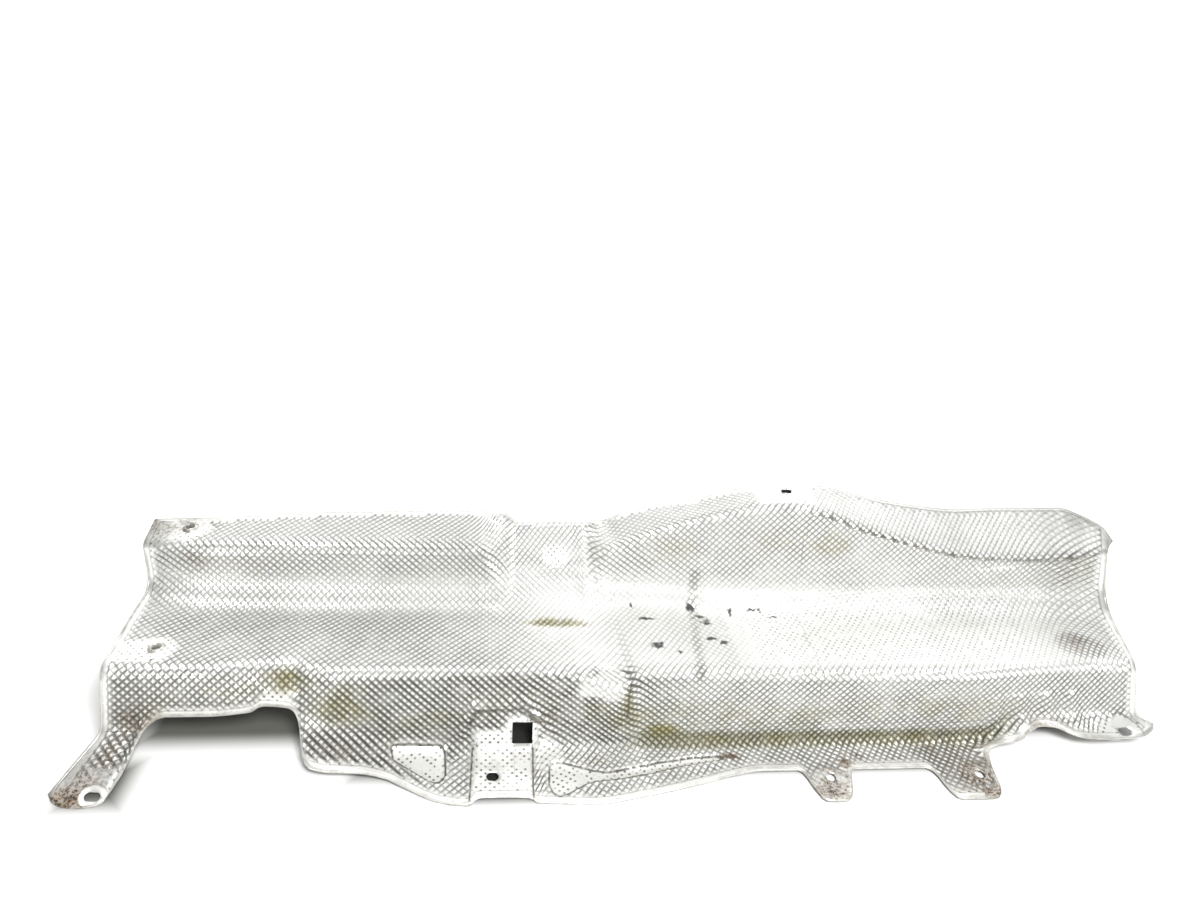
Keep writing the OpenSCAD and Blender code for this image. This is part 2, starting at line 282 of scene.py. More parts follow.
def pockets(p):
    """Distance inside the two sunk pockets on the front flange."""
    low = p[:, 2] < 26
    d = np.maximum(depth_in(p[:, 0], p[:, 1], CORNER_POCKET),
                   depth_in(p[:, 0], p[:, 1], LONG_POCKET))
    return np.where(low & (p[:, 1] < -60), d, -40)


def front_pad(p):
    x, y, z = p[:, 0], p[:, 1], p[:, 2]
    return np.where(y < -55, np.minimum(np.minimum(x + 189, -128 - x), 27 - z), -40)


def arch(p):
    x, y, z = p[:, 0], p[:, 1], p[:, 2]
    return np.where((y < -50) & (z < 85), depth_in(x, z + 0.6 * np.minimum(y + 72, 0), ARCH_BEAD), -40)


def plain(p, front_gap, back_gap):
    """0 where the sheet is embossed, 1 where it was pressed flat."""
    m = np.maximum(1 - ease(front_gap, 8, 12), 1 - ease(back_gap, 3, 7))
    x, y, z = p[:, 0], p[:, 1], p[:, 2]
    m = np.maximum(m, ease(depth_in(x, y, BACK_LEFT_PAD), -4, 2) * (z > 140))
    m = np.maximum(m, ease(depth_in(x, y, COLLAR_PAD), -4, 2) * (z > 85))
    m = np.maximum(m, ease(depth_in(x, y, END_PAD), -4, 2) * (z < 40))
    m = np.maximum(m, (1 - ease(x, -524, -508)) * (1 - ease(y, -104, -90)))
    m = np.maximum(m, blob(p, -103, 99, 12, 9, 0.4))
    m = np.maximum(m, 0.25 * blob(p, -100, 112, 40, 14, 0.5))
    m = np.maximum(m, ease(x, 118, 126) * (1 - ease(x, 184, 190)) * ease(y, 66, 74) * (z > 214))
    m = np.maximum(m, ease(front_pad(p), -3, 2))
    m = np.maximum(m, ease(pockets(p), -3, 1))
    m = np.maximum(m, 0.7 * blob(p, -112, -82, 12, 14, 0.5) * (z < 20))
    m = np.maximum(m, 0.8 * ease(x, 158, 166) * (1 - ease(x, 198, 206)) * (1 - ease(y, -118, -104)))
    m = np.maximum(m, 0.35 * ease(x, 300, 312) * (1 - ease(y, -132, -116)) * (x < 370))
    m = np.maximum(m, 0.5 * blob(p, -58, -62, 20, 24, 0.4) * (z > 66) * (z < 88))
    # On the trough floor the emboss is flattened, most on the right, which also fades its painted groove
    # shade: painted light where that part is washed out
    floor = (z > 86) * (z < 116) * ease(y, -52, -40)
    m = np.maximum(m, 0.6 * ease(x, 30, 140) * (1 - ease(x, 420, 530)) * floor)
    m = np.maximum(m, 0.3 * ease(x, -200, -60) * (1 - ease(x, 400, 520)) * floor)
    m = np.maximum(m, 0.85 * ease(x, -404, -396) * (1 - ease(x, -372, -364)) * (z < 71) * (y < -50))
    return np.clip(m, 0, 1)


def press(p):
    """Pressed forms finer than the folds, along the normal, mm."""
    x, y, z = p[:, 0], p[:, 1], p[:, 2]
    d = pockets(p)
    h = -2.6 * ease(d, -1.5, 3.5) + 0.7 * np.exp(-((d + 4) / 3)**2)
    h = h + 2.8 * np.exp(-((arch(p) + 5) / 4.2)**2) * ease(z, 6, 22)
    floor = (z > 88) * (z < 150) * (y < 80) * (y > -45)
    h = h - 2.4 * np.exp(-((x + 31) / 6)**2) * (y < -50) * ease(z, 20, 40) * (1 - ease(z, 84, 92))
    h = h + 1.5 * np.sin(x / 5.4 + y / 5) * blob(p, 428, -64, 44, 14, 0.7) * (z < 62)
    h = h - 1.8 * np.exp(-(((x - 54 - 0.1 * y) / 6)**2 + ((y - 25) / 38)**2)) * floor
    h = h + 1.6 * blob(p, 8, 20, 34, 18, 1.2) * floor
    h = h - 1.6 * np.exp(-(((y - 21) / 6)**2)) * ease(x, -142, -130) * (1 - ease(x, -70, -58)) * floor
    h = h + 1.2 * np.sin(x / 31 + 0.7) * np.sin(y / 23 + x / 90) * floor * ease(y, -45, -20)
    return h


# Stains and dirt
# Each has its centre on the sheet and its reach each way in mm, and its strength
RUST = [
    ((-562, -126, 3), (34, 22, 16), 1.4), ((-548, -112, 8), (26, 26, 18), 0.65),
    ((-515, -66, 40), (36, 26, 26), 0.8), ((-536, -84, 20), (14, 26, 20), 0.6),
    ((352, -138, 5), (24, 18, 12), 1.2), ((345, -116, 5), (52, 46, 14), 0.85),
    ((325, -80, 10), (80, 20, 16), 0.75), ((493, -12, 95), (26, 26, 12), 0.6),
    ((80, -88, 5), (18, 8, 12), 1.5), ((182, -122, 5), (34, 34, 16), 0.7),
    ((205, -100, 6), (16, 16, 10), 1.2), ((218, -88, 6), (22, 10, 8), 0.9),
    ((170, -138, 5), (26, 14, 10), 0.75), ((190, -140, 5), (18, 10, 10), 0.7),
    ((-490, 69, 140), (24, 16, 20), 0.45), ((-110, -62, 40), (24, 12, 16), 0.7),
    ((440, -72, 26), (50, 16, 14), 0.5), ((-267, -73, 23), (6, 6, 6), 1.0),
    ((-320, -88, 20), (34, 22, 16), 0.45)]
OLIVE = [
    ((-25, -66, 44), (44, 16, 34), 1.1), ((8, -66, 20), (46, 16, 20), 1.4),
    ((-30, -68, 60), (12, 12, 34), 1.2), ((-54, -68, 50), (40, 16, 22), 0.75),
    ((-37, -68, 38), (16, 10, 26), 0.9), ((110, -68, 11), (180, 14, 12), 1.1),
    ((290, -68, 12), (150, 14, 12), 1.2), ((100, -66, 40), (240, 14, 34), 0.5),
    ((300, -64, 44), (200, 14, 34), 0.5), ((-420, -58, 74), (60, 14, 22), 0.5),
    ((-368, -52, 80), (44, 18, 24), 1.2), ((-318, -66, 60), (50, 16, 40), 1.1),
    ((-150, -64, 60), (90, 14, 30), 0.4), ((-440, 62, 138), (70, 18, 26), 0.3),
    ((20, 62, 165), (60, 14, 30), 0.4), ((206, 56, 180), (40, 14, 26), 0.7),
    ((150, 56, 180), (60, 14, 30), 0.35), ((-495, -58, 50), (40, 18, 34), 0.4),
    ((-102, 21, 97), (52, 12, 14), 1.6), ((520, 60, 150), (50, 14, 30), 0.4),
    ((-240, -78, 22), (80, 22, 14), 0.3), ((-240, -64, 36), (70, 14, 24), 0.6),
    ((-60, -88, 6), (50, 12, 10), 0.3), ((258, -14, 95), (72, 9, 8), 0.35)]
HAZE_AND_SHADE = [
    ((-514, 104, 162), (50, 26, 16), 1.0), ((-534, 100, 160), (52, 40, 20), 1.0),
    # the strips at x -190 and -127 are painted shade on the raised pad's two sides
    ((-158, -105, 5), (36, 38, 16), 0.3), ((-190, -105, 5), (7, 36, 14), 1.0),
    ((-127, -100, 5), (5, 34, 14), 0.9), ((-545, -108, 12), (34, 44, 34), 0.8),
    ((180, -124, 5), (34, 32, 14), 0.9), ((350, -118, 5), (40, 44, 14), 0.7),
    ((-512, -22, 95), (34, 20, 14), 0.5), ((562, -70, 24), (24, 20, 16), 0.4),
    ((-400, -60, 52), (110, 12, 12), 0.4), ((540, 100, 190), (36, 20, 20), 0.5)]
# Black scuffs, most of them on the floor of the trough: centre and reach
SCUFF = [
    ((51, 44, 101), (8, 11, 9)), ((58, 31, 98), (11, 8, 7)), ((66, 21, 96), (9, 8, 8)),
    ((150, 30, 97), (14, 2.2, 5)), ((67, -7, 95), (10, 5, 6)), ((79, -12, 95), (9, 4, 6)),
    ((97, 38, 97), (4, 9, 6)), ((-1, 26, 97), (17, 4, 5)), ((-15, 50, 98), (3.2, 6, 5)),
    ((126, 40, 98), (14, 3, 6)), ((5, -16, 95), (10, 8, 7)), ((26, -28, 95), (4, 3, 4)),
    ((-530, -95, 14), (4, 3, 5)), ((-505, -39, 95), (4, 2, 4))]


def stained(p, spots):
    """Strongest of a list of stains at each point, 0 to 1."""
    out = np.zeros(len(p))
    for centre, reach, strength in spots:
        d = np.linalg.norm((p - np.array(centre)) / np.array(reach), axis=1)
        out = np.maximum(out, strength * (1 - ease(d, 0.1, 1)))
    return out


def shade_slant(p):
    """Which way the grooves' painted shade runs heavier: above 0 down to the right, below 0 up to the
    right.
    """
    x, y, z = p[:, 0], p[:, 1], p[:, 2]
    upright = ((y < -44) & (z > 6) & (z < 90)) | ((y > 44) & (z > 104) & (y < 80))
    right = ease(x, -60, 120)
    walls = 0.30 - 0.54 * right - 0.15 * ease(x, 420, 520) - 0.22 * (1 - ease(x, -380, -330)) * (y < 0)
    level = -0.3 + 0.35 * right
    level = np.where(y < -66, np.where(x > 60, 0.3, np.where(x > -60, 0.0, -0.25)), level)
    level = np.where((z > 150) & (y > 74) & (x < -60), -0.62, level)
    return np.where(upright, walls, level)


def grime_and_shade(p):
    """How much dirt the emboss grooves hold, 0 to 1, with painted shade along two pressed creases."""
    x, y, z = p[:, 0], p[:, 1], p[:, 2]
    front_wall = (y < -44) * ease(z, 3, 8) * (1 - ease(z, 86, 95))
    back_wall = (y > 44) * ease(z, 98, 112)
    floor = (z > 86) * (z < 112) * (y > -50)
    flange = (y < -66) * (1 - ease(z, 8, 26))
    g = 0.42 + 0 * x
    g = np.maximum(g, front_wall * (1.0 - 0.42 * ease(x, -60, 60)))
    low_right = ease(x, 100, 260) * (1 - ease(z, 120, 170))
    g = np.maximum(g, back_wall * ease(z, 100, 140) * (0.52 - 0.12 * low_right))
    g = np.maximum(g, floor * (0.53 - 0.31 * ease(x, -160, 60)))
    g = g * (1 - 0.35 * ease(y, 20, 50) * (z < 125))
    g = np.maximum(g, blob(p, -102, 21, 30, 5, 0.5) * (z > 86) * (z < 110))
    g = np.where((z > 150) & (y > 74), 0.4, g)
    g = np.maximum(g, flange * (0.6 + 0.05 * ease(x, 90, 120) + 0.25 * ease(x, 250, 310)))
    foot_line = np.exp(-((z - 16) / 9)**2) * (y < -62) * ease(x, -40, 0) * (1 - ease(x, 385, 410))
    g = np.maximum(g, foot_line)
    # painted shade along two pressed creases: down the front wall near x -30 and across the trough floor
    g = np.maximum(g, np.exp(-((x + 30) / 6)**2) * (y < -50) * ease(z, 24, 40))
    g = np.maximum(g, np.exp(-((x - 50 - 0.1 * y) / 7)**2) * (z > 86) * (z < 140))
    g = np.where((floor > 0) & (x > 90), np.minimum(g, 0.2 + 0.4 * ease(x, 400, 540)), g)
    return np.maximum(g, 0.8 * blob(p, 496, -18, 22, 18, 0.8) * (z > 80))


# The main surface
ROW_ROOM = 1.6       # least room between the hem and the first emboss row


class Points:
    """The sheet's points, with what the emboss and the finish need to know of each."""

    def __init__(self):
        self.place = []
        self.across = []
        self.along = []
        self.sign = []
        self.lips = []

    def add(self, place, across, along, sign, lips):
        self.place.append(place)
        self.across.append(across)
        self.along.append(along)
        self.sign.append(sign)
        self.lips.append(lips)
        return len(self.place) - 1


def rows_of(sec):
    """Arc positions across a section: the hem's two lines at each edge, emboss rows between."""
    lo, hi, shift = sec.v[0], sec.v[-1], phi(sec.s)
    first = math.ceil((lo + HEM_W + ROW_ROOM - shift) / PITCH)
    last = math.floor((hi - HEM_W - ROW_ROOM - shift) / PITCH)
    rows = [(lo, None), (lo + HEM_W, None)]
    rows += [(PITCH * j + shift, j) for j in range(first, last + 1)]
    return rows + [(hi - HEM_W, None), (hi, None)]


stations = np.arange(S0, S1 + 0.1, PITCH)
sections = [Section(float(s)) for s in stations]
grid = Points()
columns = []
for i, sec in enumerate(sections):
    column = []
    for v, j in rows_of(sec):
        sign = 0 if j is None else (1 if (i + j) % 2 == 0 else -1)
        lips = (v - sec.v[0], sec.v[-1] - v)
        column.append((v, j, grid.add(sec.at(v), v - phi(sec.s), PITCH * i, sign, lips)))
    columns.append(column)


def same_row(p, q):
    return p[1] is not None and p[1] == q[1]


def join_columns(i):
    """Triangles between one column of points and the next."""
    A, B = columns[i], columns[i + 1]
    shift_a, shift_b = phi(stations[i]), phi(stations[i + 1])
    out = []
    for k in (0, -2):
        out.append((A[k][2], B[k][2], B[k + 1][2]))
        out.append((A[k][2], B[k + 1][2], A[k + 1][2]))
    a, b = 1, 1
    na, nb = len(A) - 2, len(B) - 2
    while a < na or b < nb:
        if a < na and b < nb and same_row(A[a], B[b]) and same_row(A[a + 1], B[b + 1]):
            p0, p1, p2, p3 = A[a][2], B[b][2], B[b + 1][2], A[a + 1][2]
            # the shared edge joins the two pits
            if grid.sign[p0] == -1:
                out += [(p0, p1, p2), (p0, p2, p3)]
            else:
                out += [(p0, p1, p3), (p1, p2, p3)]
            a, b = a + 1, b + 1
        elif b >= nb or (a < na and A[a + 1][0] - shift_a <= B[b + 1][0] - shift_b):
            out.append((A[a][2], B[b][2], A[a + 1][2]))
            a += 1
        else:
            out.append((A[a][2], B[b][2], B[b + 1][2]))
            b += 1
    return out


# Holes
HOLE_REACH = 30      # how far round a hole the sheet's points are looked at
RING_ROOM = 2.2      # points nearer than this to a hole's edge are cut away
LOOP_LIMIT = 400
STATION_STEPS = 6
CENTRE_STEPS = 8


def slot_ring(w, l, n=28):
    ring = []
    for k in range(n):
        t = 2 * math.pi * (k + 0.5) / n
        cx = (l - w) / 2 * (1 if math.cos(t) > 0 else -1)
        ring.append((cx + w / 2 * math.cos(t), w / 2 * math.sin(t)))
    return ring


def square_ring(w, h, n=7):
    c = [(-w / 2, -h / 2), (w / 2, -h / 2), (w / 2, h / 2), (-w / 2, h / 2)]
    return [tuple(np.array(c[k]) * (1 - t) + np.array(c[(k + 1) % 4]) * t)
            for k in range(4) for t in np.arange(n) / n]


# x, y, outline, range of arc positions to look in
HOLES = [
    (182, -117, slot_ring(10.5, 10.5), (None, -95)),
    (347, -117, slot_ring(10.5, 10.5), (None, -95)),
    (-538, -123, slot_ring(8.8, 14.2), (None, -90)),
    (535, -79, slot_ring(10.8, 16.6), (None, -70)),
    (157, 92, slot_ring(9, 12), (200, None)),
    (-168, -110, slot_ring(10, 12.6), (None, -95)),
    (-505, 102, slot_ring(9, 9), (120, None)),
    (-505, -21, slot_ring(9, 9), (0, 90)),
    (-138.5, -70, square_ring(21, 24), (None, -60)),
]


def station_at(x, v):
    """Station whose leaning section passes x at arc position v."""
    s = x
    for _ in range(STATION_STEPS):
        s += (x - Section(s).at(v)[0]) * 0.9
    return min(max(s, S0), S1)


def centre_of(hx, hy, lo, hi):
    """Arc position of a hole's centre."""
    s = hx
    for _ in range(CENTRE_STEPS):
        sec = Section(s)
        v = sec.v_of_y(hy, lo, hi)
        s = min(max(s + (hx - sec.at(v)[0]) * 0.8, S0), S1)
    return v


def lay_ring(hx, centre_v, outline):
    """A hole's outline, laid on the sheet as new points."""
    ids = []
    for dx, dv in outline:
        st = station_at(hx + dx, centre_v + dv)
        place = Section(st).at(centre_v + dv)
        ids.append(grid.add(place, centre_v + dv - phi(st), st - S0, 0, (50, 50)))
    return ids


class Plane:
    """The plane that a hole's outline lies in."""

    def __init__(self, ring):
        self.centre = ring.mean(axis=0)
        self.u1 = ring[0] - self.centre
        self.u1 /= np.linalg.norm(self.u1)
        self.normal = np.zeros(3)
        for k in range(len(ring)):
            self.normal += np.cross(ring[k] - self.centre, ring[(k + 1) % len(ring)] - self.centre)
        self.normal /= np.linalg.norm(self.normal)
        self.u2 = np.cross(self.normal, self.u1)

    def polar(self, points):
        """Angle and reach of each point from the centre."""
        x, y = (points - self.centre) @ self.u1, (points - self.centre) @ self.u2
        return np.arctan2(y, x), np.hypot(x, y)

    def angle(self, k):
        q = np.array(grid.place[k]) - self.centre
        return math.atan2(q @ self.u2, q @ self.u1)


def open_loop(patch):
    """The outline of a patch of triangles, as one loop of points."""
    directed = dict.fromkeys((f[k], f[(k + 1) % 3]) for f in patch.tolist() for k in range(3))
    outer = {a: b for a, b in directed if (b, a) not in directed}
    start = next(iter(outer))
    loop, here = [start], outer[start]
    while here != start and len(loop) < LOOP_LIMIT:
        loop.append(here)
        here = outer[here]
    return loop


def half_turn(t):
    """An angle brought to within half a turn of 0."""
    return ((t + math.pi) % (2 * math.pi)) - math.pi


def unwrap(run):
    """Angles of a closed run of points, without jumps."""
    out = [run[0][0]]
    for k in range(1, len(run) + 1):
        out.append(out[-1] + half_turn(run[k % len(run)][0] - out[-1]))
    return out


def bridge(loop, ids, plane):
    """Triangles from a cut patch's outline to the hole's ring, matched by angle."""
    outside = [(plane.angle(k), k) for k in loop]
    turned = sum(half_turn(outside[(k + 1) % len(outside)][0] - outside[k][0])
                 for k in range(len(outside)))
    sign = 1 if turned > 0 else -1
    ring = [(plane.angle(k), k) for k in ids[::sign]]
    nearest = min(range(len(ring)), key=lambda k: abs(half_turn(ring[k][0] - outside[0][0])))
    ring = ring[nearest:] + ring[:nearest]
    ua, ub = unwrap(outside), unwrap(ring)
    ub = [t + round((ua[0] - ub[0]) / (2 * math.pi)) * 2 * math.pi for t in ub]
    out = []
    a = b = 0
    while a < len(outside) or b < len(ring):
        p, q = outside[a % len(outside)][1], ring[b % len(ring)][1]
        if b >= len(ring) or (a < len(outside) and ua[a + 1] * sign <= ub[b + 1] * sign):
            out.append((p, outside[(a + 1) % len(outside)][1], q))
            a += 1
        else:
            out.append((p, ring[(b + 1) % len(ring)][1], q))
            b += 1
    return out


V = np.array(grid.place)
F = np.array([f for i in range(len(columns) - 1) for f in join_columns(i)])
alive = np.ones(len(F), bool)
hole_gap = np.full(len(V), 1e3)
hole_rings, bridges = [], []
for hx, hy, outline, (lo, hi) in HOLES:
    ids = lay_ring(hx, centre_of(hx, hy, lo, hi), outline)
    ring = np.array([grid.place[k] for k in ids])
    plane = Plane(ring)
    ring_angle, ring_reach = plane.polar(ring)
    order = np.argsort(ring_angle)
    near = np.where(np.linalg.norm(V - plane.centre, axis=1) < HOLE_REACH)[0]
    angle, reach = plane.polar(V[near])
    edge = np.interp(angle, ring_angle[order], ring_reach[order], period=2 * math.pi)
    hole_gap[near] = np.minimum(hole_gap[near], reach - edge)
    gone = set(near[reach < edge + RING_ROOM].tolist())
    hit = np.array([not gone.isdisjoint(f) for f in F.tolist()])
    bridges += bridge(open_loop(F[hit & alive]), ids, plane)
    alive &= ~hit
    up = plane.normal if plane.normal[2] > 0 else -plane.normal
    hole_rings.append((plane.centre, up, ring))

F = np.concatenate([F[alive], np.array(bridges)])
V = np.array(grid.place)
used = np.zeros(len(V), bool)
used[F.ravel()] = True
remap = -np.ones(len(V), int)
remap[used] = np.arange(used.sum())
V, F = V[used], remap[F]
sign = np.array(grid.sign)[used]
uv = np.stack([np.array(grid.along), np.array(grid.across)], 1)[used]
lips = np.array(grid.lips)[used]
hole_gap = np.concatenate([hole_gap, np.zeros(len(used) - len(hole_gap))])[used]


def normals_of(V, F):
    n = np.cross(V[F[:, 1]] - V[F[:, 0]], V[F[:, 2]] - V[F[:, 0]])
    out = np.zeros_like(V)
    for k in range(3):
        np.add.at(out, F[:, k], n)
    return out / np.maximum(np.linalg.norm(out, axis=1), 1e-9)[:, None]


N = normals_of(V, F)
if N[:, 2].sum() < 0:
    F = F[:, ::-1]
    N = -N

# How far each point is from the folds, the holes and the ends
FAR = 20             # a gap of this much or more counts as far away
length = S1 - S0
back_half = (V[:, 0] > 150) & (V[:, 2] > 120)
at_station = uv[:, 0] + S0
arc_at = uv[:, 1] + np.interp(at_station, PHI_S, PHI)
crest_gap = arc_at - np.interp(at_station, stations, [sec.crest for sec in sections])
foot_gap = arc_at - np.interp(at_station, stations, [sec.foot for sec in sections])
flatness = plain(V, lips[:, 0], lips[:, 1])
flatness = np.maximum(flatness, 0.5 * back_half * ease(crest_gap, 3, 9) * ease(V[:, 0], 170, 210))
flatness = np.maximum(flatness, 1 - ease(hole_gap, 4, 9))
flatness = np.maximum(flatness, 1 - ease(uv[:, 0], 4, 12))
flatness = np.maximum(flatness, 1 - ease(length - uv[:, 0], 5, 12))
rim_gap = np.clip(pockets(V), -FAR, FAR)
on_pad = (V[:, 1] < -72) & (V[:, 2] < 27)
pad_side = np.where(on_pad, np.minimum(V[:, 0] + 190, -127 - V[:, 0]), -FAR)
on_dimple = (V[:, 1] < -50) & (V[:, 2] > 34) & (V[:, 2] < 86)
dimple_line = np.where(on_dimple, V[:, 0] + 30, -FAR)
for line in (pad_side, dimple_line):
    rim_gap = np.where(abs(line) < abs(rim_gap), line, rim_gap)
arch_gap = np.clip(arch(V), -FAR, FAR) + 2 * FAR * (V[:, 2] < 30)
crest_gap[V[:, 0] < 175] = FAR
edge_gap = np.minimum(np.minimum(lips[:, 0], lips[:, 1] + 3), 2 * FAR)
edge_gap = np.minimum(edge_gap, np.minimum(uv[:, 0], length - uv[:, 0]) + 1)
V = V + N * press(V)[:, None]
N = normals_of(V, F)
relief = sign * (1 - flatness)
relief = relief * (1 - 0.6 * back_half * np.exp(-((crest_gap + 1) / 5)**2))

# Nothing dips below the lowest hem
on_hem = np.minimum(lips[:, 0], lips[:, 1]) < HEM_W + 0.5
room = 0.1 + np.where(on_hem, HEM_T, SHEET) / 2
V[:, 2] = np.maximum(V[:, 2], room + DEPTH * abs(relief))

# Shells: top and bottom, joined round every free edge
nv = len(V)
sides = dict.fromkeys((f[k], f[(k + 1) % 3]) for f in F.tolist() for k in range(3))
free_edges = [(a, b) for a, b in sides if (b, a) not in sides]
on_hem |= (uv[:, 0] < 0.5) | (uv[:, 0] > length - 0.5)
half = np.where(on_hem, HEM_T / 2, SHEET / 2)[:, None]
shell_v = np.concatenate([V + N * half, V - N * half]) - MIDDLE
shell_f = F.tolist() + (F[:, ::-1] + nv).tolist() + [[b, a, a + nv, b + nv] for a, b in free_edges]


def link_object(name, me):
    ob = bpy.data.objects.new(name, me)
    bpy.context.scene.collection.objects.link(ob)
    return ob


def mesh_of(name, v, f, smooth=True):
    me = bpy.data.meshes.new(name)
    me.from_pydata((np.asarray(v) * MM).tolist(), [], [list(map(int, q)) for q in f])
    me.validate()
    if smooth:
        me.shade_smooth()
    return link_object(name, me)


def add_value(me, name, values):
    at = me.attributes.new(name, "FLOAT", "POINT")
    at.data.foreach_set("value", np.asarray(values, np.float32))


def add_vector(me, name, values):
    at = me.attributes.new(name, "FLOAT_VECTOR", "POINT")
    at.data.foreach_set("vector", np.asarray(values, np.float32).ravel())


def add_stains(me, p):
    for name, spots in (("olive", OLIVE), ("rust", RUST), ("haze_and_shade", HAZE_AND_SHADE)):
        add_value(me, name, stained(p, spots))
    add_value(me, "grime_and_shade", grime_and_shade(p))
    add_value(me, "shade_slant", shade_slant(p))


def twice(a):
    """The same value for the top and the bottom of the sheet."""
    return np.concatenate([a, a])


UV_SCALE = 0.01      # sheet millimetres to pattern units
CM = 0.1             # gaps are kept in centimetres
shield = mesh_of("shield_sheet", shell_v, shell_f)
me = shield.data
uv_layer = me.uv_layers.new(name="sheet")
corner = np.zeros(len(me.loops), int)
me.loops.foreach_get("vertex_index", corner)
uv_layer.data.foreach_set("uv", (twice(uv) * UV_SCALE)[corner].astype(np.float32).ravel())
add_value(me, "relief", twice(relief))
add_value(me, "flat", twice(flatness))
add_value(me, "under", np.concatenate([np.zeros(nv), np.ones(nv)]))
for label, gap in (("rim", rim_gap), ("arch", arch_gap), ("crest", np.clip(crest_gap, -FAR, FAR)),
                   ("edge", edge_gap)):
    add_value(me, label, twice(gap) * CM)
add_stains(me, twice(V))
foot_dirt = ease(foot_gap, -10, -4) * (1 - ease(foot_gap, 8, 20))
foot_dirt = foot_dirt * ease(V[:, 0], -45, -10) * (1 - ease(V[:, 0], 388, 420))
add_value(me, "foot", twice(foot_dirt))
seated = (abs(V[:, 0] - 10) > 515) & (V[:, 2] < 40)
washer = np.clip(hole_gap * np.where(V[:, 0] > 0, 0.55, 1.2), 0, 2 * FAR)
add_value(me, "washer", twice(np.where(seated, washer, 2 * FAR)) * CM)
crisp = np.abs(twice(relief)) > 0.25
rounded = [not (len(q.vertices) == 3 and crisp[list(q.vertices)].sum() >= 2) for q in me.polygons]
me.polygons.foreach_set("use_smooth", np.array(rounded))
add_vector(me, "lift", twice(N))


# Geometry node and material tools
class Tree:
    """A geometry node tree with named inputs."""

    def __init__(self, name, inputs):
        self.t = bpy.data.node_groups.new(name, "GeometryNodeTree")
        self.t.is_modifier = True
        face = self.t.interface
        face.new_socket("Geometry", in_out="INPUT", socket_type="NodeSocketGeometry")
        self.ids = {}
        for label, kind, default in inputs:
            socket = face.new_socket(label, in_out="INPUT", socket_type=kind)
            if default is not None:
                socket.default_value = default
            self.ids[label] = socket.identifier
        face.new_socket("Geometry", in_out="OUTPUT", socket_type="NodeSocketGeometry")
        self.gin = self.t.nodes.new("NodeGroupInput")
        self.gout = self.t.nodes.new("NodeGroupOutput")

    def add(self, kind, **props):
        n = self.t.nodes.new(kind)
        for a, b in props.items():
            setattr(n, a, b)
        return n

    def link(self, a, b):
        self.t.links.new(a, b)

    def named(self, label, kind):
        """A value kept on the points."""
        n = self.add("GeometryNodeInputNamedAttribute", data_type=kind)
        n.inputs["Name"].default_value = label
        return n.outputs["Attribute"]

    def finish(self, geo):
        """Real geometry with the tree's material at its end."""
        real = self.add("GeometryNodeRealizeInstances")
        mat = self.add("GeometryNodeSetMaterial")
        self.link(geo, real.inputs[0])
        self.link(real.outputs[0], mat.inputs[0])
        self.link(self.gin.outputs["Finish"], mat.inputs["Material"])
        self.link(mat.outputs[0], self.gout.inputs[0])

    def apply(self, ob, values):
        """Run the tree on a piece and keep the result as its plain mesh."""
        mod = ob.modifiers.new(self.t.name, "NODES")
        mod.node_group = self.t
        for label, value in values.items():
            mod[self.ids[label]] = value
        bpy.context.view_layer.update()
        deps = bpy.context.evaluated_depsgraph_get()
        made = bpy.data.meshes.new_from_object(ob.evaluated_get(deps), preserve_all_data_layers=True,
                                               depsgraph=deps)
        ob.modifiers.remove(mod)
        before = ob.data
        ob.data = made
        bpy.data.meshes.remove(before)


